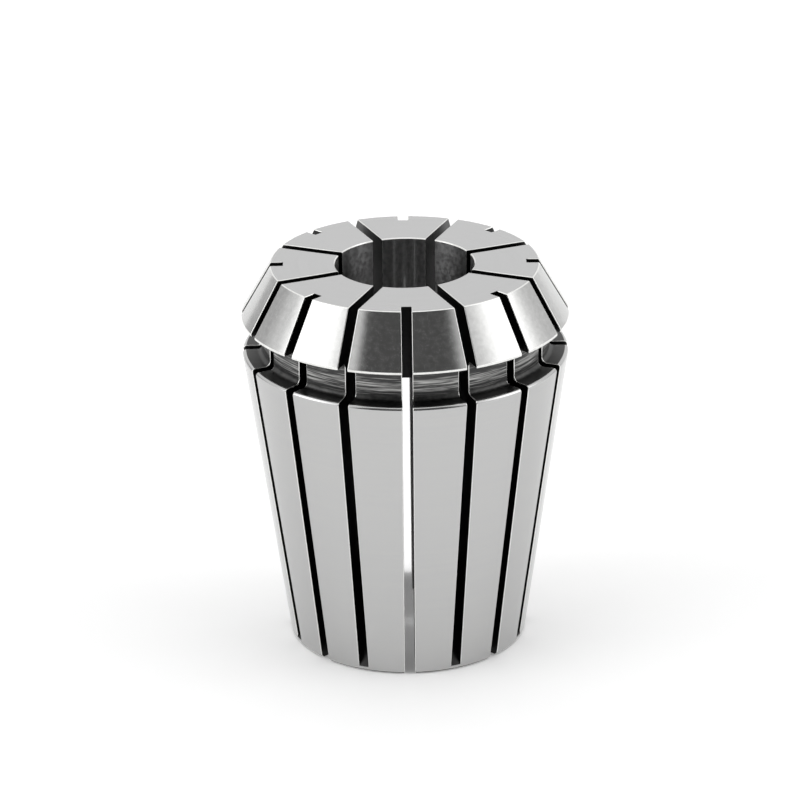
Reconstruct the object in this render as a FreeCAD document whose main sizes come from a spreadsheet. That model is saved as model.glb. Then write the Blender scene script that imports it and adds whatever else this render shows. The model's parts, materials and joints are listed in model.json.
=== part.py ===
"""Double-slotted spring collet: 33 mm head, 40 mm long, for a 14 mm shank.

One piece of hardened spring steel. It stands on its small rear face, with the origin at the
centre of that face and +Z along the axis towards the nose. Millimetres and degrees.
"""
import FreeCAD, Part
import os

import Sketcher

SIZES = {
    "overall_length": "40",
    "bore_diameter": "14",
    # Nose: a flat face, then the cone that the closing nut bears on, then a short land.
    "nose_face_diameter": "27",
    "nose_half_angle": "30",
    "head_diameter": "33",
    "head_land": "0.3",
    # Groove that the nut's extraction ring snaps into.
    "groove_width": "3.45",
    "groove_diameter": "29",
    "groove_corner_radius": "0.5",
    # Body: the long taper, its diameter taken at the shoulder below the groove.
    "taper_diameter": "33",
    "taper_half_angle": "8",
    # Rounded and broken edges.
    "nose_edge_round": "0.15",
    "shoulder_edge_break": "0.3",
    "foot_edge_break": "0.25",
    "front_bore_break": "0.1",
    "rear_bore_break": "0.4",
    # Saw cuts: as many from the nose as from the foot, half a pitch apart.
    "slots_per_end": "8",
    "slot_width": "1",
    "saw_radius": "31.5",
    # How far the blade reaches past the bore wall, towards the axis.
    "saw_overcut": "1.6",
    # What a cut from the nose leaves standing at the outside, above the foot.
    "foot_web": "0.5",
    # How far a cut from the foot breaks into the nose face, inwards from its rim.
    "nose_notch": "1.3",
    # How far each cut's outline runs on past the steel.
    "cut_clearance": "1",
}

# Radii and heights of the sharp-cornered section, from the cells of the sheet.
BORE = "dims.bore_diameter / 2"
NOSE = "dims.nose_face_diameter / 2"
HEAD = "dims.head_diameter / 2"
GROOVE = "dims.groove_diameter / 2"
TAPER = "dims.taper_diameter / 2"
TOP = "dims.overall_length"
CONE_END = f"({TOP} - ({HEAD} - {NOSE}) / tan(dims.nose_half_angle))"
GROOVE_TOP = f"({CONE_END} - dims.head_land)"
SHOULDER = f"({GROOVE_TOP} - dims.groove_width)"
FOOT = f"({TAPER} - {SHOULDER} * tan(dims.taper_half_angle))"

ORIGIN_POINT = (-1, 1)


def fill_sheet(doc):
    """One row for each driving dimension: its name, and its value under that alias."""
    sheet = doc.addObject("Spreadsheet::Sheet", "dims")
    for row, (name, value) in enumerate(SIZES.items(), start=1):
        sheet.set(f"A{row}", name)
        sheet.set(f"B{row}", value)
        sheet.setAlias(f"B{row}", name)
    doc.recompute()
    return sheet


def value_of(thing, formula):
    return float(thing.evalExpression(formula))


def radial_sketch(body, name):
    """A sketch on the upright plane through the axis: x is the radius, y the height."""
    sketch = body.newObject("Sketcher::SketchObject", name)
    plane = next(item for item in body.Origin.OriginFeatures if item.Role == "XZ_Plane")
    sketch.AttachmentSupport = [(plane, "")]
    sketch.MapMode = "FlatFace"
    return sketch


def dimension(sketch, name, kind, where, formula):
    """A named dimension of the sketch that follows a formula of the sheet's cells."""
    start = value_of(sketch, formula)
    if kind == "Angle":
        start = FreeCAD.Units.Quantity(start, FreeCAD.Units.Angle)
    index = sketch.addConstraint(Sketcher.Constraint(kind, *where, start))
    sketch.renameConstraint(index, name)
    sketch.setExpression(f"Constraints.{name}", formula)


def place_point(sketch, name, geometry, x_formula, y_formula):
    """Holds one end of a line, or a point, at a radius and a height."""
    if x_formula:
        dimension(sketch, f"{name}_radius", "DistanceX", (*ORIGIN_POINT, *geometry), x_formula)
    if y_formula:
        dimension(sketch, f"{name}_height", "DistanceY", (*ORIGIN_POINT, *geometry), y_formula)


def closed_outline(sketch, corners):
    """Straight lines from corner to corner and back to the first. Line n starts at corner n."""
    spots = [FreeCAD.Vector(value_of(sketch, x), value_of(sketch, y), 0) for x, y in corners]
    count = len(spots)
    for index, spot in enumerate(spots):
        sketch.addGeometry(Part.LineSegment(spot, spots[(index + 1) % count]), False)
    for index in range(count):
        following = (index + 1) % count
        sketch.addConstraint(Sketcher.Constraint("Coincident", index, 2, following, 1))


def turn_blank(body):
    """The lathe work: one sharp-cornered half section, turned about the axis."""
    sketch = radial_sketch(body, "half_section")
    closed_outline(sketch, [
        (BORE, "0"), (FOOT, "0"), (TAPER, SHOULDER), (GROOVE, SHOULDER), (GROOVE, GROOVE_TOP),
        (HEAD, GROOVE_TOP), (HEAD, CONE_END), (NOSE, TOP), (BORE, TOP),
    ])
    foot, taper, shoulder, floor, groove_front, land, cone, nose, bore = range(9)
    for line in (foot, shoulder, groove_front, nose):
        sketch.addConstraint(Sketcher.Constraint("Horizontal", line))
    for line in (floor, land, bore):
        sketch.addConstraint(Sketcher.Constraint("Vertical", line))
    sketch.addConstraint(Sketcher.Constraint("PointOnObject", foot, 1, -1))
    place_point(sketch, "bore", (bore, 1), BORE, TOP)
    place_point(sketch, "nose", (cone, 2), NOSE, None)
    place_point(sketch, "head", (land, 1), HEAD, None)
    place_point(sketch, "groove", (floor, 1), GROOVE, None)
    place_point(sketch, "shoulder", (taper, 2), TAPER, None)
    dimension(sketch, "cone_angle", "Angle", (cone,), "90 deg + dims.nose_half_angle * 1 deg")
    dimension(sketch, "taper_angle", "Angle", (taper,), "90 deg - dims.taper_half_angle * 1 deg")
    dimension(sketch, "land", "DistanceY", (land, 1, land, 2), "dims.head_land")
    dimension(sketch, "groove_width", "DistanceY", (floor, 1, floor, 2), "dims.groove_width")
    blank = body.newObject("PartDesign::Revolution", "turned_blank")
    blank.Profile = sketch
    blank.ReferenceAxis = (sketch, ["V_Axis"])
    blank.Angle = 360
    return blank


def ring_edges(feature, places):
    """Names of the feature's circular edges about the axis at each (radius, height)."""
    wanted = [(value_of(feature, radius), value_of(feature, height)) for radius, height in places]
    names = []
    for number, edge in enumerate(feature.Shape.Edges, start=1):
        if not isinstance(edge.Curve, Part.Circle):
            continue
        for radius, height in wanted:
            same_radius = abs(edge.Curve.Radius - radius) < 1e-6
            if same_radius and abs(edge.Curve.Center.z - height) < 1e-6:
                names.append(f"Edge{number}")
    if len(names) != len(wanted):
        raise RuntimeError(f"{feature.Label}: {len(names)} of {len(wanted)} turned edges found")
    return names


def dress_edges(body, base, name, kind, size_name, places):
    """Rounds or chamfers turned edges of the feature before it."""
    body.Document.recompute()
    dressed = body.newObject(f"PartDesign::{kind}", name)
    dressed.Base = (base, ring_edges(base, places))
    dressed.setExpression("Radius" if kind == "Fillet" else "Size", f"dims.{size_name}")
    return dressed


def saw_cuts(body, base, name, open_end, arc_radius, arc_height, rises, turn_formula):
    """Radial slots cut by a round blade that leaves the steel at one end.

    The cut's bottom is a straight line along the bore, a little inside its wall. At the closed
    end it sweeps outwards on the blade's own arc, through the point (arc_radius, arc_height).
    """
    side = 1 if rises else -1
    sketch = radial_sketch(body, f"{name}_outline")
    root = value_of(sketch, f"{BORE} - dims.saw_overcut")
    saw = value_of(sketch, "dims.saw_radius")
    far = f"{HEAD} + {TAPER}"
    end_radius = f"{arc_radius} + dims.cut_clearance"

    def arc_rise(radius):
        return (saw ** 2 - (saw - radius + root) ** 2) ** 0.5

    through = FreeCAD.Vector(value_of(sketch, arc_radius), value_of(sketch, arc_height), 0)
    centre = FreeCAD.Vector(root + saw, through.y - side * arc_rise(through.x), 0)
    arc_end = FreeCAD.Vector(value_of(sketch, end_radius), 0, 0)
    arc_end.y = centre.y + side * arc_rise(arc_end.x)
    arc_start = FreeCAD.Vector(root, centre.y, 0)
    open_start = FreeCAD.Vector(root, value_of(sketch, open_end), 0)
    open_far = FreeCAD.Vector(value_of(sketch, far), open_start.y, 0)
    arc_far = FreeCAD.Vector(open_far.x, arc_end.y, 0)
    middle_radius = (arc_start.x + arc_end.x) / 2
    arc_middle = FreeCAD.Vector(middle_radius, centre.y + side * arc_rise(middle_radius), 0)

    straight, arc, outwards, outside, mouth, mark = range(6)
    sketch.addGeometry(Part.LineSegment(open_start, arc_start), False)
    sketch.addGeometry(Part.Arc(arc_start, arc_middle, arc_end), False)
    sketch.addGeometry(Part.LineSegment(arc_end, arc_far), False)
    sketch.addGeometry(Part.LineSegment(arc_far, open_far), False)
    sketch.addGeometry(Part.LineSegment(open_far, open_start), False)
    sketch.addGeometry(Part.Point(through), True)
    # An arc runs anticlockwise, so a rising one starts at its outer end.
    inner_end, outer_end = (2, 1) if rises else (1, 2)
    sketch.addConstraint(Sketcher.Constraint("Tangent", straight, 2, arc, inner_end))
    sketch.addConstraint(Sketcher.Constraint("Coincident", arc, outer_end, outwards, 1))
    sketch.addConstraint(Sketcher.Constraint("Coincident", outwards, 2, outside, 1))
    sketch.addConstraint(Sketcher.Constraint("Coincident", outside, 2, mouth, 1))
    sketch.addConstraint(Sketcher.Constraint("Coincident", mouth, 2, straight, 1))
    sketch.addConstraint(Sketcher.Constraint("Vertical", straight))
    sketch.addConstraint(Sketcher.Constraint("Horizontal", outwards))
    sketch.addConstraint(Sketcher.Constraint("Vertical", outside))
    sketch.addConstraint(Sketcher.Constraint("Horizontal", mouth))
    sketch.addConstraint(Sketcher.Constraint("PointOnObject", mark, 1, arc))
    place_point(sketch, "root", (straight, 1), f"{BORE} - dims.saw_overcut", open_end)
    place_point(sketch, "run_out", (mark, 1), arc_radius, arc_height)
    place_point(sketch, "arc_end", (outwards, 1), end_radius, None)
    place_point(sketch, "outside", (outside, 2), far, None)
    dimension(sketch, "saw", "Radius", (arc,), "dims.saw_radius")
    if turn_formula:
        turned = FreeCAD.Rotation(FreeCAD.Vector(0, 1, 0), value_of(sketch, turn_formula))
        sketch.AttachmentOffset = FreeCAD.Placement(FreeCAD.Vector(), turned)
        sketch.setExpression("AttachmentOffset.Rotation.Angle", turn_formula)

    cut = body.newObject("PartDesign::Pocket", f"{name}_first")
    cut.Profile = sketch
    cut.Type = "Length"
    cut.SideType = "Symmetric"
    cut.setExpression("Length", "dims.slot_width")
    ring = body.newObject("PartDesign::PolarPattern", name)
    ring.Originals = [cut]
    ring.Axis = (sketch, ["V_Axis"])
    ring.Angle = 360
    ring.setExpression("Occurrences", "dims.slots_per_end")
    body.Tip = ring
    body.Document.recompute()
    one = base.Shape.Volume - cut.Shape.Volume
    every = base.Shape.Volume - ring.Shape.Volume
    if one <= 0 or abs(every - ring.Occurrences * one) > 0.01 * every:
        raise RuntimeError(f"{name}: one cut takes {one:.2f} mm3 and all of them {every:.2f}")
    return ring


def build_collet(doc):
    body = doc.addObject("PartDesign::Body", "collet")
    body.Label = "collet"
    blank = turn_blank(body)
    last = dress_edges(body, blank, "groove_corners", "Fillet", "groove_corner_radius",
                       [(GROOVE, SHOULDER), (GROOVE, GROOVE_TOP)])
    last = dress_edges(body, last, "nose_edge", "Fillet", "nose_edge_round", [(NOSE, TOP)])
    last = dress_edges(body, last, "shoulder_edge", "Chamfer", "shoulder_edge_break",
                       [(TAPER, SHOULDER)])
    last = dress_edges(body, last, "foot_edge", "Chamfer", "foot_edge_break", [(FOOT, "0")])
    last = dress_edges(body, last, "front_bore_edge", "Chamfer", "front_bore_break",
                       [(BORE, TOP)])
    last = dress_edges(body, last, "rear_bore_edge", "Chamfer", "rear_bore_break",
                       [(BORE, "0")])
    doc.recompute()
    web_radius = f"({TAPER} - ({SHOULDER} - dims.foot_web) * tan(dims.taper_half_angle))"
    last = saw_cuts(body, last, "foot_slots", "-dims.cut_clearance",
                    f"({NOSE} - dims.nose_notch)", TOP, True, None)
    saw_cuts(body, last, "nose_slots", f"{TOP} + dims.cut_clearance",
             web_radius, "dims.foot_web", False, "180 deg / dims.slots_per_end")
    body.Placement = FreeCAD.Placement()
    return body


def check_document(doc):
    """Recompute can leave an object failed without saying so."""
    for item in doc.Objects:
        if "Invalid" in item.State or "Error" in item.State:
            raise RuntimeError(f"{item.Label} failed: {item.State}")
        if item.TypeId == "Sketcher::SketchObject" and not item.FullyConstrained:
            raise RuntimeError(f"{item.Label} isn't fully constrained")


def write_parts(parts):
    os.makedirs("parts", exist_ok=True)
    for part in parts:
        shape = part.Shape
        if shape.isNull() or not shape.isValid() or len(shape.Solids) != 1:
            raise RuntimeError(f"{part.Label} isn't one valid solid")
        shape.exportStep(f"parts/{part.Label}.step")
        print(part.Label, round(shape.Volume, 3), "mm3", shape.BoundBox)


def main():
    doc = FreeCAD.newDocument("spring_collet")
    fill_sheet(doc)
    collet = build_collet(doc)
    doc.recompute()
    check_document(doc)
    write_parts([collet])


main()
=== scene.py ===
"""A double-slotted spring collet, ground and polished, standing on its small end.

The turned form is one closed half section of straight runs and rounded corners. Saw cuts divide it
into sixteen like halves of a segment: one half is worked out, then mirrored and turned.
"""
import json
from math import atan2, cos, pi, radians, sin, tan

import bpy
import numpy as np
from mathutils import Matrix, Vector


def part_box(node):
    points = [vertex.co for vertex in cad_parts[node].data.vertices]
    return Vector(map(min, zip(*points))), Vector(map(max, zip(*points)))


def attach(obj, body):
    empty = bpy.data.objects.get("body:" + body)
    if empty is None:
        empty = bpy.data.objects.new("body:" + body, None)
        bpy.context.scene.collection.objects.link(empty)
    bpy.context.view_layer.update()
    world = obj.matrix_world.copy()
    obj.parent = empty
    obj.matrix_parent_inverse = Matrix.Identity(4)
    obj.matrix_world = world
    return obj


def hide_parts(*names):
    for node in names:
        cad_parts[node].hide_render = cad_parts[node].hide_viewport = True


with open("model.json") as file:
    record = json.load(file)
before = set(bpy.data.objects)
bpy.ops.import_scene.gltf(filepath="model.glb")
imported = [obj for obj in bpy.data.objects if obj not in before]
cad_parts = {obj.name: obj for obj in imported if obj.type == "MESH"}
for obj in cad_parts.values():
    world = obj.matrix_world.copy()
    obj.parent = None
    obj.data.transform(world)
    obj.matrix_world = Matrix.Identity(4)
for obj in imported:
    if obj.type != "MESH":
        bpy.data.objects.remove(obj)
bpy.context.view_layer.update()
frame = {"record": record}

MM = 0.001

# Sizes of the collet in millimetres, with radii for what is round. Its axis is Z, and it stands on
# the height 0.
low_corner, high_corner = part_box("collet")
mounts = {mount["name"]: mount for mount in frame["record"]["mounts"]}
LENGTH = (high_corner.z - low_corner.z) / MM
BORE = mounts["shank_bore"]["dims"]["r_mm"]
HEAD = 16.5
NOSE = 13.5
NOSE_ANGLE = radians(30)
HEAD_LAND = 0.3
GROOVE_WIDTH = 3.45
GROOVE = 14.5
TAPER = 16.5
TAPER_ANGLE = radians(8)
SHOULDER_BREAK = 0.25
FOOT_BREAK = 0.25
FRONT_BORE_BREAK = 0.1
REAR_BORE_BREAK = 0.4

CONE_END = LENGTH - (HEAD - NOSE) / tan(NOSE_ANGLE)
GROOVE_TOP = CONE_END - HEAD_LAND
SHOULDER = GROOVE_TOP - GROOVE_WIDTH
FOOT = TAPER - SHOULDER * tan(TAPER_ANGLE)

# Saw cuts: their count at each end, half their width, the blade's radius, how far its rim reaches past
# the bore's wall, and where the cuts leave the steel.
CUTS_PER_END = 8
HALF_PITCH = pi / CUTS_PER_END
CUT_HALF = 0.5
SAW = 31.5
SAW_OVERCUT = 1.6
CUT_ROOT = BORE - SAW_OVERCUT
FOOT_WEB = 0.5
WEB_END = FOOT + FOOT_WEB * tan(TAPER_ANGLE)
NOSE_NOTCH = 1.3
NOTCH_END = NOSE - NOSE_NOTCH

# Roundings of the section's corners.
FOOT_ROUND = 0.1
SHOULDER_ROUND = 0.3
GROOVE_ROUND = 0.5
HEAD_ROUND = 0.15
FRONT_BORE_ROUND = 0.04
REAR_BORE_ROUND = 0.06

# Rounding along the mouths of the cuts: in the bore, and outside. It grows between two distances from
# the bore, and it dies out over a short way at both ends of a cut.
BORE_MOUTH_ROUND = 0.04
MOUTH_ROUND = 0.08
MOUTH_GROWTH = (0.5, 2.0)
MOUTH_FADE = 0.3

# Bands on the groove's wall, from the shoulder up: where each begins, is full, fades and ends.
# The first band is painted light: it lightens the wall's middle, and leaves painted shade above it under
# the head and below it by the shoulder.
PAINTED_LIGHT_BAND = (0.7, 1.2, 1.7, 2.3)
FINE_LINE = (1.18, 1.29, 1.37, 1.48)

# How finely the surfaces are divided, and the step within which two places are one.
RUN_STEP = 1.5
CORNER_STEP = radians(11)
PANEL_COLUMNS = 12
MOUTH_COLUMNS = 5
CUT_END_ROWS = 28
WELD = 1e-4

# The finishes, in the order of the collet's material slots.
FINISHES = ("ground_taper", "ground_cone", "ground_face", "turned_groove", "quenched_scale",
            "honed_bore", "sawn_cut", "tumbled_edge")
SAWN = FINISHES.index("sawn_cut")
TUMBLED = FINISHES.index("tumbled_edge")

# The camera, as the photograph was taken: millimetres, degrees and the picture's own pixels.
CAMERA_DISTANCE = 400.42
CAMERA_ELEVATION = radians(22.808)
CAMERA_TURN = radians(-0.45)
CAMERA_ROLL = radians(-0.640)
CAMERA_ASIDE = -0.617
CAMERA_RAISED = 5.027
FOCAL_PIXELS = 3936.4
PICTURE_PIXELS = 800
SENSOR = 36.0

# The table top: its radius in metres, the sides of its rim, and the light it adds for what looks at it.
TABLE_RADIUS = 1.5
TABLE_SIDES = 128
TABLE_GLOW = 0.15

# The panels of the studio tent, in degrees round from the front and up from the table: where each
# begins, is full, fades and ends. The last number is its brightness, where the tent's own is 1.
TENT_PANELS = {
    "dark_front_card": ((-41, -33, 35, 48), (-20, -10, 56, 64), 0.115),
    "left_box": ((-105, -84, -76, -42), (8, 17, 42, 52), 2.8),
    "right_box": ((53, 84, 88, 113), (8, 17, 42, 52), 2.6),
    "left_back_cloth": ((-155, -136, -117, -106), (-10, 0, 14, 20), 0.66),
    "right_back_cloth": ((112, 119, 125, 138), (-10, 0, 14, 20), 0.85),
    "overhead_box": ((-181, -180, 180, 181), (60, 68, 90, 91), 1.2),
}


def saw_rise(radius):
    """Height of the blade's rim above its centre, at a radius from the collet's axis."""
    return np.sqrt(SAW ** 2 - (SAW - radius + CUT_ROOT) ** 2)


def foot_cut_height(radius):
    """The blade's arc at the closed end of a cut from the foot. It comes out in the nose face."""
    return LENGTH - saw_rise(NOTCH_END) + saw_rise(radius)


def nose_cut_height(radius):
    """The blade's arc at the closed end of a cut from the nose. It comes out just above the foot."""
    return FOOT_WEB + saw_rise(WEB_END) - saw_rise(radius)


def section_corners():
    """Corners of the half section, anticlockwise from the bore's foot.

    Each has a radius, a height, the radius of its rounding, the rounding's finish and the finish of
    the run that leaves it. A rounding of 0 marks the place on a straight run where a saw cut ends.
    """
    along, across = cos(TAPER_ANGLE), sin(TAPER_ANGLE)
    taper, cone, face, bore = "ground_taper", "ground_cone", "ground_face", "honed_bore"
    wall, scale, edge = "turned_groove", "quenched_scale", "tumbled_edge"
    return [
        (BORE + REAR_BORE_BREAK, 0.0, REAR_BORE_ROUND, edge, face),
        # The foot's chamfer takes the dark scale as painted shade: it stands for the shadow under the foot
        # that it mirrors.
        (FOOT - FOOT_BREAK, 0.0, FOOT_ROUND, edge, scale),
        (FOOT + FOOT_BREAK * across, FOOT_BREAK * along, FOOT_ROUND, edge, taper),
        (WEB_END, FOOT_WEB, 0.0, taper, taper),
        (TAPER - SHOULDER_BREAK * across, SHOULDER - SHOULDER_BREAK * along, SHOULDER_ROUND, taper, taper),
        (TAPER - SHOULDER_BREAK, SHOULDER, SHOULDER_ROUND, taper, scale),
        (GROOVE, SHOULDER, GROOVE_ROUND, scale, wall),
        (GROOVE, GROOVE_TOP, GROOVE_ROUND, scale, scale),
        (HEAD, GROOVE_TOP, HEAD_ROUND, edge, edge),
        (HEAD, CONE_END, HEAD_ROUND, edge, cone),
        (NOSE, LENGTH, HEAD_ROUND, edge, face),
        (NOTCH_END, LENGTH, 0.0, face, face),
        (BORE + FRONT_BORE_BREAK, LENGTH, FRONT_BORE_ROUND, edge, edge),
        (BORE, LENGTH - FRONT_BORE_BREAK, FRONT_BORE_ROUND, edge, bore),
        (BORE, float(foot_cut_height(BORE)), 0.0, bore, bore),
        (BORE, float(nose_cut_height(BORE)), 0.0, bore, bore),
        (BORE, REAR_BORE_BREAK, REAR_BORE_ROUND, edge, edge),
    ]


def run_shares(length, cut_ends):
    """Where a straight run is divided, as shares of it: even steps, and one close to each cut's end.

    A run that is shorter than the fade of a mouth has no room for the second kind.
    """
    even = np.linspace(0, 1, max(1, round(length / RUN_STEP)) + 1)[1:-1]
    fade = MOUTH_FADE / length
    close = [share for share, cut in zip((fade, 1 - fade), cut_ends) if cut and fade < 1]
    return np.array(sorted({*even, *close}))


def trace_section(corners):
    """Points, outward normals and finishes around the section, and the rows where saw cuts end.

    A rounded corner is an arc: the normal turns evenly from one run's to the next one's, and each
    point lies one rounding from the arc's centre along it, or against it where the corner is hollow.
    """
    places = np.array([corner[:2] for corner in corners])
    runs = np.roll(places, -1, axis=0) - places
    ahead = runs / np.linalg.norm(runs, axis=1)[:, None]
    behind = np.roll(ahead, 1, axis=0)
    turns = np.arctan2(behind[:, 0] * ahead[:, 1] - behind[:, 1] * ahead[:, 0],
                       (behind * ahead).sum(axis=1))
    trims = np.array([corner[2] for corner in corners]) * np.abs(np.tan(turns / 2))
    points, normals, finishes, cut_rows = [], [], [], []
    for index, (_, _, rounding, rounded, finish) in enumerate(corners):
        following = (index + 1) % len(corners)
        first = atan2(-behind[index][0], behind[index][1])
        if rounding:
            steps = max(2, round(abs(turns[index]) / CORNER_STEP))
            angles = first + turns[index] * np.linspace(0, 1, steps + 1)
            fan = np.stack([np.cos(angles), np.sin(angles)], axis=1)
            arrival = places[index] - behind[index] * trims[index]
            points.extend(arrival + (fan - fan[0]) * rounding * np.sign(turns[index]))
            normals.extend(fan)
            finishes.extend([rounded] * steps)
        else:
            cut_rows.append(len(points))
            points.append(places[index])
            normals.append(np.array([cos(first), sin(first)]))
        start = places[index] + ahead[index] * trims[index]
        end = places[following] - ahead[index] * trims[following]
        shares = run_shares(np.linalg.norm(end - start), (not rounding, not corners[following][2]))
        points.extend(start + (end - start) * shares[:, None])
        normals.extend([np.array([ahead[index][1], -ahead[index][0]])] * len(shares))
        finishes.extend([finish] * (len(shares) + 1))
    finish_numbers = np.array([FINISHES.index(name) for name in finishes])
    return np.array(points), np.array(normals), finish_numbers, cut_rows


def mouth_rounding(points, rows):
    """Rounding of a cut's mouth along its rows, and 0 where the cut doesn't run.

    It grows from the bore outwards, and fades to nothing over a short way at both ends of the cut.
    """
    steps = np.linalg.norm(np.diff(points[rows], axis=0), axis=1)
    walked = np.concatenate([[0], np.cumsum(steps)])
    fade = np.clip(np.minimum(walked, walked[-1] - walked) / MOUTH_FADE, 0, 1)
    rounding = np.zeros(len(points))
    rounding[rows] = fade * np.interp(points[rows, 0], [BORE + distance for distance in MOUTH_GROWTH],
                                      [BORE_MOUTH_ROUND, MOUTH_ROUND])
    return rounding


def radial(normals):
    """Section normals as (radial, tangential, axial) ones."""
    return np.stack([normals[..., 0], 0 * normals[..., 0], normals[..., 1]], axis=-1)


def grid(radius, angle, height, normals, finishes):
    """A patch: spots in (radius, angle, height), local normals, and each row's finish."""
    spots = np.stack(np.broadcast_arrays(radius, angle, height), axis=-1)
    return spots, np.broadcast_to(normals, spots.shape), finishes


def skin(points, normals, finishes, foot_mouth, nose_mouth):
    """The turned surface between two neighbouring cuts, all the way round the section.

    At radius r, a mouth starts at the angle whose sine is (half a cut + rounding) / r from the middle
    plane of its cut. The columns share out what is left between the two mouths.
    """
    rows = np.append(np.arange(len(points)), 0)
    radius = points[rows, :1]
    start = np.arcsin((CUT_HALF + foot_mouth[rows, None]) / radius)
    end = HALF_PITCH - np.arcsin((CUT_HALF + nose_mouth[rows, None]) / radius)
    share = np.linspace(0, 1, PANEL_COLUMNS + 1)
    return grid(radius, start + (end - start) * share, points[rows, 1:],
                radial(normals[rows])[:, None], finishes)


class Cut:
    """Half of a saw cut: what lies within half its width, and its wall.

    Distances go from the middle plane of the cut, which is at the angle 0 for a cut from the foot and
    half a pitch on for one from the nose.
    """

    def __init__(self, section, open_rows, closed_rows, outer_end, end_height, from_nose):
        self.points, self.normals, self.finishes = section
        self.open_rows = open_rows
        self.closed_rows = closed_rows
        self.from_nose = from_nose
        self.mouth = mouth_rounding(self.points, open_rows)
        self.end_radius = np.linspace(outer_end, BORE, CUT_END_ROWS + 1)
        self.end_height = end_height(self.end_radius)
        self.blade_centre = np.array([CUT_ROOT + SAW, end_height(CUT_ROOT)])

    def angle(self, distance, radius):
        """Angle round the axis of a spot at a distance from the middle plane."""
        offset = np.arcsin(distance / radius)
        return HALF_PITCH - offset if self.from_nose else offset

    def wall_normal(self, radius, distance):
        """The wall faces the middle plane. At a spot of the wall that isn't quite tangential."""
        offset = np.arcsin(distance / radius)
        towards = 1 if self.from_nose else -1
        return np.stack([-np.sin(offset), towards * np.cos(offset), 0 * offset], axis=-1)

    def web(self):
        """The turned surface where the cut doesn't run, from the middle plane to the wall's line."""
        rows = self.closed_rows
        radius = self.points[rows, :1]
        return grid(radius, self.angle(np.array([0, CUT_HALF]), radius), self.points[rows, 1:],
                    radial(self.normals[rows])[:, None], self.finishes[rows])

    def rounded_mouth(self):
        """A quarter circle between the skin and the wall, along the whole open cut.

        Its spots lie at (1 - sine) of the rounding from the wall and (1 - cosine) below the skin.
        """
        rows = self.open_rows
        quarter = np.linspace(0, pi / 2, MOUTH_COLUMNS + 1)
        size = self.mouth[rows, None]
        depth = size * (1 - np.cos(quarter))
        sunk = self.points[rows, None] - self.normals[rows, None] * depth[..., None]
        radius = sunk[..., 0]
        distance = CUT_HALF + size * (1 - np.sin(quarter))
        normals = (np.cos(quarter)[:, None] * radial(self.normals[rows])[:, None]
                   + np.sin(quarter)[:, None] * self.wall_normal(radius, distance))
        normals = normals / np.linalg.norm(normals, axis=-1, keepdims=True)
        return grid(radius, self.angle(distance, radius), sunk[..., 1], normals,
                    np.full(len(rows), TUMBLED))

    def curved_end(self):
        """The blade's arc from the outside to the bore. Its normal points at the blade's centre."""
        rim = np.stack([self.end_radius, self.end_height], axis=1)
        normals = radial((self.blade_centre - rim) / SAW)[:, None]
        radius = self.end_radius[:, None]
        return grid(radius, self.angle(np.array([0, CUT_HALF]), radius), self.end_height[:, None],
                    normals, np.full(CUT_END_ROWS, SAWN))

    def wall(self):
        """Outline of the flat wall: just under the rounded mouth, then back along the blade's arc."""
        rows = self.open_rows
        under_mouth = self.points[rows] - self.normals[rows] * self.mouth[rows, None]
        arc = np.stack([self.end_radius, self.end_height], axis=1)[1:-1]
        outline = np.concatenate([under_mouth, arc[::-1] if self.from_nose else arc])
        radius = outline[:, 0]
        spots = np.stack([radius, self.angle(CUT_HALF, radius), outline[:, 1]], axis=1)
        return spots, self.wall_normal(radius, CUT_HALF)


def grid_faces(spots, normals, finishes):
    """The squares of a grid: four corners each with their normals, and a finish."""
    def squares(values):
        around = [values[:-1, :-1], values[1:, :-1], values[1:, 1:], values[:-1, 1:]]
        return np.stack(around, axis=2).reshape(-1, 4, 3)
    columns = spots.shape[1] - 1
    return squares(spots), squares(normals), np.repeat(finishes[:spots.shape[0] - 1], columns)


def sixteen_copies(spots, normals, finishes):
    """Faces of half a segment, mirrored in a foot cut's middle plane and turned by whole pitches.

    A spot at radius r and angle a goes to (r sin a, -r cos a, height), and each face is put in the
    order that makes it look the way its normals point.
    """
    corners, directions = [], []
    for side in (1, -1):
        for turn in range(CUTS_PER_END):
            angle = side * spots[..., 1] + turn * 2 * HALF_PITCH
            out = np.stack([np.sin(angle), -np.cos(angle), 0 * angle], axis=-1)
            on = np.stack([np.cos(angle), np.sin(angle), 0 * angle], axis=-1)
            up = np.array([0.0, 0.0, 1.0])
            place = out * spots[..., :1] + up * spots[..., 2:]
            facing = out * normals[..., :1] + on * (side * normals[..., 1:2]) + up * normals[..., 2:]
            following = np.roll(place, -1, axis=1)
            looks = np.cross(place, following).sum(axis=1)
            wrong = (looks * facing.mean(axis=1)).sum(axis=1) < 0
            place[wrong] = place[wrong, ::-1]
            facing[wrong] = facing[wrong, ::-1]
            corners.append(place)
            directions.append(facing)
    return np.concatenate(corners), np.concatenate(directions), np.tile(finishes, 2 * CUTS_PER_END)


def weld(face_groups):
    """Joins corners that share a place, and leaves out the sides of a face that have no length.

    Gives the places, each loop's place and normal, each face's number of loops, and its finish.
    """
    places = np.concatenate([corners.reshape(-1, 3) for corners, _, _ in face_groups])
    _, first, number = np.unique(np.round(places / WELD).astype(np.int64), axis=0,
                                 return_index=True, return_inverse=True)
    number = number.reshape(-1)
    loops, directions, sizes, finishes = [], [], [], []
    taken = 0
    for corners, normals, finish in face_groups:
        numbers = number[taken:taken + corners.shape[0] * corners.shape[1]].reshape(corners.shape[:2])
        taken += numbers.size
        kept = numbers != np.roll(numbers, -1, axis=1)
        kept &= (kept.sum(axis=1) >= 3)[:, None]
        loops.append(numbers[kept])
        directions.append(normals[kept])
        whole = kept.any(axis=1)
        sizes.append(kept.sum(axis=1)[whole])
        finishes.append(finish[whole])
    joined = [np.concatenate(parts) for parts in (loops, directions, sizes, finishes)]
    return places[first], *joined


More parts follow.
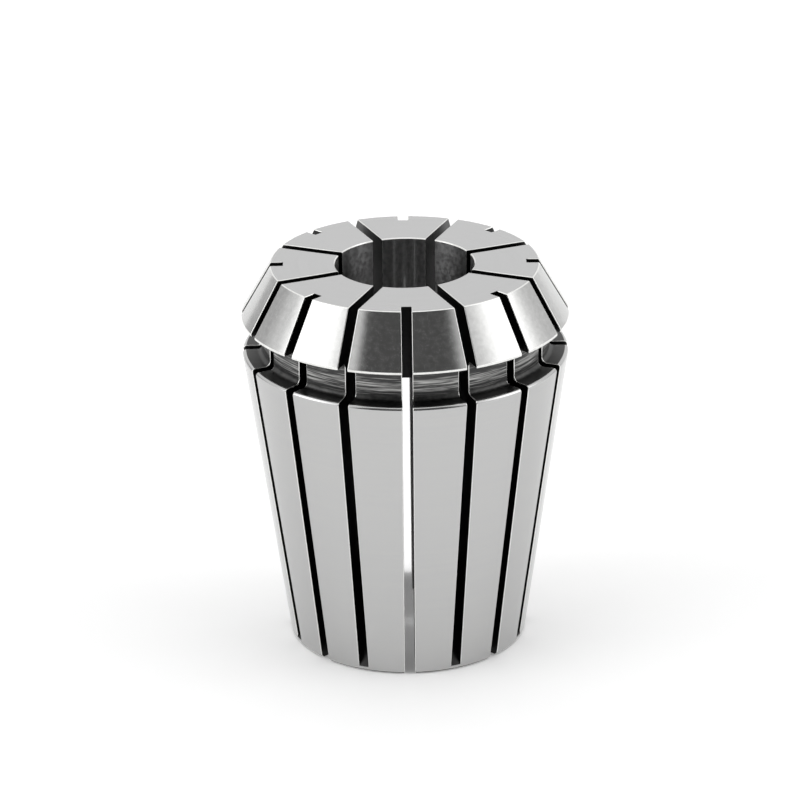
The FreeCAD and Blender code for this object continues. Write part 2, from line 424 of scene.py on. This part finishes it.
def collet_faces():
    """All faces of the collet, from one half of a segment.

    The marked rows of the section lie above the foot, on the nose face, and twice in the bore.
    """
    *section, cut_rows = trace_section(section_corners())
    count = len(section[0])
    nose_start, foot_end, foot_start, nose_end = cut_rows
    from_foot = Cut(section, np.arange(foot_start, foot_end + count + 1) % count,
                    np.arange(foot_end, foot_start + 1), NOTCH_END, foot_cut_height, False)
    from_nose = Cut(section, np.arange(nose_start, nose_end + 1),
                    np.arange(nose_end, nose_start + count + 1) % count, WEB_END, nose_cut_height, True)
    grids = [skin(*section, from_foot.mouth, from_nose.mouth)]
    for cut in (from_foot, from_nose):
        grids += [cut.web(), cut.rounded_mouth(), cut.curved_end()]
    groups = [sixteen_copies(*grid_faces(*patch)) for patch in grids]
    for cut in (from_foot, from_nose):
        spots, normals = cut.wall()
        groups.append(sixteen_copies(spots[None], normals[None], np.array([SAWN])))
    return groups


def build_collet(materials):
    """Puts the welded faces into a mesh with the exact normals of the turned and sawn surfaces."""
    places, loops, directions, sizes, finishes = weld(collet_faces())
    mesh = bpy.data.meshes.new("spring_collet")
    mesh.vertices.add(len(places))
    mesh.vertices.foreach_set("co", (places * MM).ravel())
    mesh.loops.add(len(loops))
    mesh.loops.foreach_set("vertex_index", loops)
    mesh.polygons.add(len(sizes))
    mesh.polygons.foreach_set("loop_start", np.cumsum(sizes) - sizes)
    for material in materials:
        mesh.materials.append(material)
    mesh.polygons.foreach_set("material_index", finishes)
    mesh.update(calc_edges=True)
    mesh.polygons.foreach_set("use_smooth", np.ones(len(sizes), dtype=bool))
    mesh.normals_split_custom_set(directions.tolist())
    collet = bpy.data.objects.new("spring_collet", mesh)
    bpy.context.scene.collection.objects.link(collet)
    return collet


def linear(hex_colour):
    """An sRGB colour such as "c8c8c6" as linear red, green, blue and 1."""
    parts = [int(hex_colour[place:place + 2], 16) / 255 for place in (0, 2, 4)]
    return [part / 12.92 if part <= 0.04045 else ((part + 0.055) / 1.055) ** 2.4
            for part in parts] + [1.0]


def add_node(tree, kind, inputs=None, **settings):
    """A node with its settings. Each input, by name or number, gets a value or another node's socket."""
    node = tree.nodes.new(kind)
    for name, value in settings.items():
        setattr(node, name, value)
    for name, value in (inputs or {}).items():
        if isinstance(value, bpy.types.NodeSocket):
            tree.links.new(value, node.inputs[name])
        else:
            node.inputs[name].default_value = value
    return node


def steel(name, colour, roughness):
    """A bare steel material with its shader, and its object coordinates in millimetres.

    The colour and the roughness are those of the finish as a whole, before a pattern spreads them.
    """
    material = bpy.data.materials.new(name)
    material.use_nodes = True
    tree = material.node_tree
    shader = tree.nodes["Principled BSDF"]
    shader.inputs["Base Color"].default_value = linear(colour)
    shader.inputs["Metallic"].default_value = 1.0
    shader.inputs["Roughness"].default_value = roughness
    place = add_node(tree, "ShaderNodeTexCoord").outputs["Object"]
    scaled = add_node(tree, "ShaderNodeVectorMath", {0: place, 1: (1 / MM,) * 3}, operation="MULTIPLY")
    return material, tree, shader, scaled.outputs[0]


def round_marks(tree, place, width, length, detail=2.0):
    """Noise in marks that run round the axis, by their width and length in millimetres.

    Height plus radius grows along every turned surface. It is divided by the marks' width, and the
    place itself by their length.
    """
    across = add_node(tree, "ShaderNodeVectorMath", {0: place, 1: (1, 1, 0)}, operation="MULTIPLY")
    radius = add_node(tree, "ShaderNodeVectorMath", {0: across.outputs[0]}, operation="LENGTH")
    height = add_node(tree, "ShaderNodeSeparateXYZ", {0: place}).outputs["Z"]
    travel = add_node(tree, "ShaderNodeMath", {0: radius.outputs["Value"], 1: height}, operation="ADD")
    feed = add_node(tree, "ShaderNodeMath", {0: travel.outputs[0], 1: width}, operation="DIVIDE")
    lift = add_node(tree, "ShaderNodeCombineXYZ", {"Z": feed.outputs[0]})
    shrunk = add_node(tree, "ShaderNodeVectorMath", {0: place, 1: (length,) * 3}, operation="DIVIDE")
    spot = add_node(tree, "ShaderNodeVectorMath", {0: shrunk.outputs[0], 1: lift.outputs[0]},
                    operation="ADD")
    noise = add_node(tree, "ShaderNodeTexNoise",
                     {"Vector": spot.outputs[0], "Scale": 1.0, "Detail": detail})
    return noise.outputs[0]


def uneven(tree, shader, pattern, low, high, rough, colours):
    """Spreads a pattern's values from low to high over two roughnesses and over two colours."""
    spread = add_node(tree, "ShaderNodeMapRange",
                      {"Value": pattern, "From Min": low, "From Max": high,
                       "To Min": rough[0], "To Max": rough[1]})
    tree.links.new(spread.outputs["Result"], shader.inputs["Roughness"])
    share = add_node(tree, "ShaderNodeMapRange", {"Value": pattern, "From Min": low, "From Max": high})
    ends = {0: share.outputs["Result"], 6: linear(colours[0]), 7: linear(colours[1])}
    mixed = add_node(tree, "ShaderNodeMix", ends, data_type="RGBA")
    tree.links.new(mixed.outputs[2], shader.inputs["Base Color"])


def window(tree, value, edges):
    """1 between the second and third edge, 0 beyond the first and fourth, and smooth between them."""
    begins, full, fades, ends = edges
    rise = add_node(tree, "ShaderNodeMapRange", {"Value": value, "From Min": begins, "From Max": full},
                    interpolation_type="SMOOTHSTEP")
    fall = add_node(tree, "ShaderNodeMapRange", {"Value": value, "From Min": ends, "From Max": fades},
                    interpolation_type="SMOOTHSTEP")
    both = {0: rise.outputs["Result"], 1: fall.outputs["Result"]}
    return add_node(tree, "ShaderNodeMath", both, operation="MULTIPLY").outputs[0]


def ground_taper():
    """Hardened spring steel, ground round and polished: a grey mirror, a little blurred.

    The wheel's marks are a few thousandths wide. They are drawn 0.3 mm wide to show at all.
    """
    material, tree, shader, place = steel("ground_taper", "bbbbba", 0.16)
    uneven(tree, shader, round_marks(tree, place, 0.3, 20), 0.3, 0.7, (0.15, 0.17), ("bababa", "bcbcbb"))
    return material


def ground_cone():
    """The same steel ground on the nose, under a patchy film of oil: its dark reflections are cloudy.

    The patches are about 0.45 mm across. The film's own dull shine is weak, so it shows only where the
    steel mirrors something dark.
    """
    material, tree, shader, place = steel("ground_cone", "c0c0bf", 0.13)
    patches = add_node(tree, "ShaderNodeTexNoise",
                       {"Vector": place, "Scale": 2.2, "Detail": 4.0}).outputs[0]
    uneven(tree, shader, patches, 0.35, 0.7, (0.12, 0.14), ("bcbcbb", "c5c5c4"))
    film = add_node(tree, "ShaderNodeMapRange", {"Value": patches, "From Min": 0.45, "From Max": 0.6})
    tree.links.new(film.outputs["Result"], shader.inputs["Coat Weight"])
    shader.inputs["Coat Roughness"].default_value = 1.0
    return material


def ground_face():
    """An end face, ground flat: even and satin, so that it takes one tone all over.

    The wheel's marks are drawn 0.25 mm wide to show at all.
    """
    material, tree, shader, place = steel("ground_face", "bcbcbc", 0.2)
    uneven(tree, shader, round_marks(tree, place, 0.25, 8), 0.3, 0.7, (0.17, 0.23), ("bababa", "bebebe"))
    return material


def turned_groove():
    """The groove's wall, turned and never ground: bright feed marks broken up by dark hardening scale.

    The tool's feed was about 0.1 mm, and its marks are drawn 0.12 mm wide, the least that shows. Half way
    up the wall the noise is raised as painted light, which leaves the wall's top under the head and its
    foot by the shoulder darker, as painted shade. A little lower the tool was set in again, which left a
    fine dark line.
    """
    material, tree, shader, place = steel("turned_groove", "6c6c6b", 0.32)
    height = add_node(tree, "ShaderNodeSeparateXYZ", {0: place}).outputs["Z"]
    middle = window(tree, height, [SHOULDER + edge for edge in PAINTED_LIGHT_BAND])
    line = window(tree, height, [SHOULDER + edge for edge in FINE_LINE])
    pattern = round_marks(tree, place, 0.12, 3.0, 4.0)
    # Painted light: the marks are lightened in the middle band of the wall, where it catches the light.
    marks_and_painted_light = add_node(tree, "ShaderNodeMath", {0: middle, 1: 0.14, 2: pattern}, operation="MULTIPLY_ADD")
    lined = add_node(tree, "ShaderNodeMath", {0: line, 1: -0.12, 2: marks_and_painted_light.outputs[0]},
                     operation="MULTIPLY_ADD")
    uneven(tree, shader, lined.outputs[0], 0.52, 0.84, (0.4, 0.3), ("444444", "bcbcba"))
    return material


def quenched_scale():
    """Faces that no wheel reaches, left black by the hardening furnace: dark, with a dull shine. The
    foot's chamfer takes it too, as painted shade for the shadow under the foot that the chamfer mirrors.

    The scale's flakes are about 0.6 mm across.
    """
    material, tree, shader, place = steel("quenched_scale", "454545", 0.4)
    flakes = add_node(tree, "ShaderNodeTexNoise", {"Vector": place, "Scale": 1.7, "Detail": 3.0})
    uneven(tree, shader, flakes.outputs[0], 0.35, 0.7, (0.36, 0.46), ("3c3c3c", "525251"))
    return material


def honed_bore():
    """The bore, honed and then hardened: cloudy grey, its reflections drawn out along the axis.

    The cloudy patches are about 0.4 mm across. The stretch comes from marks that run round the bore.
    A film of oil over them mirrors the bright slot opposite as a thin upright line.
    """
    material, tree, shader, place = steel("honed_bore", "878787", 0.38)
    shader.inputs["Coat Weight"].default_value = 1.0
    shader.inputs["Coat Roughness"].default_value = 0.02
    shader.inputs["Anisotropic"].default_value = 1.0
    shader.inputs["Anisotropic Rotation"].default_value = 0.25
    tangent = add_node(tree, "ShaderNodeTangent", direction_type="RADIAL", axis="Z")
    tree.links.new(tangent.outputs[0], shader.inputs["Tangent"])
    clouds = add_node(tree, "ShaderNodeTexNoise", {"Vector": place, "Scale": 2.5, "Detail": 3.0})
    uneven(tree, shader, clouds.outputs[0], 0.38, 0.64, (0.3, 0.44), ("757575", "838383"))
    return material


def sawn_cut():
    """The saw's walls and ends, blackened in the furnace: nearly black, with a glint along their edges.

    The blade's feed marks are a few hundredths wide. They are drawn 0.3 mm wide to show at all.
    """
    material, tree, shader, place = steel("sawn_cut", "353535", 0.32)
    uneven(tree, shader, round_marks(tree, place, 0.3, 3), 0.3, 0.7, (0.29, 0.35), ("323232", "383838"))
    return material


def tumbled_edge():
    """Edges rounded by tumbling in abrasive chips. Their steel is painted paler than steel is, a painted
    highlight that makes white lines round every slot.

    The chips leave the polish a little uneven, over about 0.5 mm.
    """
    # Painted highlight: the pale colours make the rounded edges shine whiter than steel can.
    material, tree, shader, place = steel("tumbled_edge", "e8e8e6", 0.2)
    polish = add_node(tree, "ShaderNodeTexNoise", {"Vector": place, "Scale": 2.0, "Detail": 3.0})
    uneven(tree, shader, polish.outputs[0], 0.35, 0.7, (0.16, 0.26), ("e2e2e0", "ededeb"))
    return material


def make_materials():
    """The eight finishes, in the order of their numbers."""
    return (ground_taper(), ground_cone(), ground_face(), turned_groove(), quenched_scale(),
            honed_bore(), sawn_cut(), tumbled_edge())


def make_floor():
    """A round table top, sprayed matt white: near the eye's white, with the collet's shadow on it."""
    angles = np.linspace(0, 2 * pi, TABLE_SIDES + 1)[:-1]
    rim = np.stack([np.cos(angles), np.sin(angles), 0 * angles], axis=1) * TABLE_RADIUS
    mesh = bpy.data.meshes.new("table_top")
    mesh.from_pydata(rim.tolist(), [], [list(range(len(rim)))])
    floor = bpy.data.objects.new("table_top", mesh)
    bpy.context.scene.collection.objects.link(floor)
    material = bpy.data.materials.new("matt_white_board")
    material.use_nodes = True
    tree = material.node_tree
    shader = tree.nodes["Principled BSDF"]
    shader.inputs["Base Color"].default_value = linear("f8f8f8")
    shader.inputs["Roughness"].default_value = 0.9
    shader.inputs["Emission Color"].default_value = (1, 1, 1, 1)
    path = add_node(tree, "ShaderNodeLightPath").outputs
    seen = path["Is Camera Ray"]
    for ray in ("Is Glossy Ray", "Is Transmission Ray"):
        seen = add_node(tree, "ShaderNodeMath", {0: seen, 1: path[ray]}, operation="MAXIMUM").outputs[0]
    glow = add_node(tree, "ShaderNodeMath", {0: seen, 1: TABLE_GLOW}, operation="MULTIPLY")
    tree.links.new(glow.outputs[0], shader.inputs["Emission Strength"])
    mesh.materials.append(material)


def make_world():
    """A white studio tent whose panels, each with soft edges, are brighter or darker than its cloth.

    The camera sees plain white behind the table.
    """
    world = bpy.data.worlds.new("studio_tent")
    bpy.context.scene.world = world
    world.use_nodes = True
    tree = world.node_tree
    direction = add_node(tree, "ShaderNodeTexCoord").outputs["Generated"]
    along = add_node(tree, "ShaderNodeSeparateXYZ", {0: direction}).outputs
    ahead = add_node(tree, "ShaderNodeMath", {0: along["Y"], 1: -1.0}, operation="MULTIPLY")
    turn = add_node(tree, "ShaderNodeMath", {0: along["X"], 1: ahead.outputs[0]}, operation="ARCTAN2")
    azimuth = add_node(tree, "ShaderNodeMath", {0: turn.outputs[0]}, operation="DEGREES").outputs[0]
    tilt = add_node(tree, "ShaderNodeMath", {0: along["Z"]}, operation="ARCSINE")
    height = add_node(tree, "ShaderNodeMath", {0: tilt.outputs[0]}, operation="DEGREES").outputs[0]
    light = 1.0
    for turns, heights, brightness in TENT_PANELS.values():
        sides = {0: window(tree, azimuth, turns), 1: window(tree, height, heights)}
        share = add_node(tree, "ShaderNodeMath", sides, operation="MULTIPLY").outputs[0]
        mixing = {0: share, 2: light, 3: brightness}
        light = add_node(tree, "ShaderNodeMix", mixing, data_type="FLOAT").outputs[0]
    seen = add_node(tree, "ShaderNodeLightPath").outputs["Is Camera Ray"]
    shown = add_node(tree, "ShaderNodeMix", {0: seen, 2: light, 3: 1.0}, data_type="FLOAT")
    background = tree.nodes["Background"]
    background.inputs["Color"].default_value = (1, 1, 1, 1)
    tree.links.new(shown.outputs[0], background.inputs["Strength"])


def make_camera():
    """The photograph's own camera: a long lens, a little above the collet and looking down at it."""
    camera = bpy.data.cameras.new("camera")
    camera.sensor_fit = "HORIZONTAL"
    camera.sensor_width = SENSOR
    camera.lens = FOCAL_PIXELS / PICTURE_PIXELS * SENSOR
    camera.clip_start = 0.01
    eye = bpy.data.objects.new("camera", camera)
    bpy.context.scene.collection.objects.link(eye)
    spot = (CAMERA_ASIDE, -CAMERA_DISTANCE * cos(CAMERA_ELEVATION),
            LENGTH / 2 + CAMERA_DISTANCE * sin(CAMERA_ELEVATION) + CAMERA_RAISED)
    eye.matrix_world = (Matrix.Rotation(CAMERA_TURN, 4, "Z")
                        @ Matrix.Translation([value * MM for value in spot])
                        @ Matrix.Rotation(pi / 2 - CAMERA_ELEVATION, 4, "X")
                        @ Matrix.Rotation(CAMERA_ROLL, 4, "Z"))
    bpy.context.scene.camera = eye


collet = build_collet(make_materials())
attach(collet, "root")
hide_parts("collet")
make_floor()
make_world()
make_camera()
bpy.context.scene.view_settings.view_transform = "Standard"
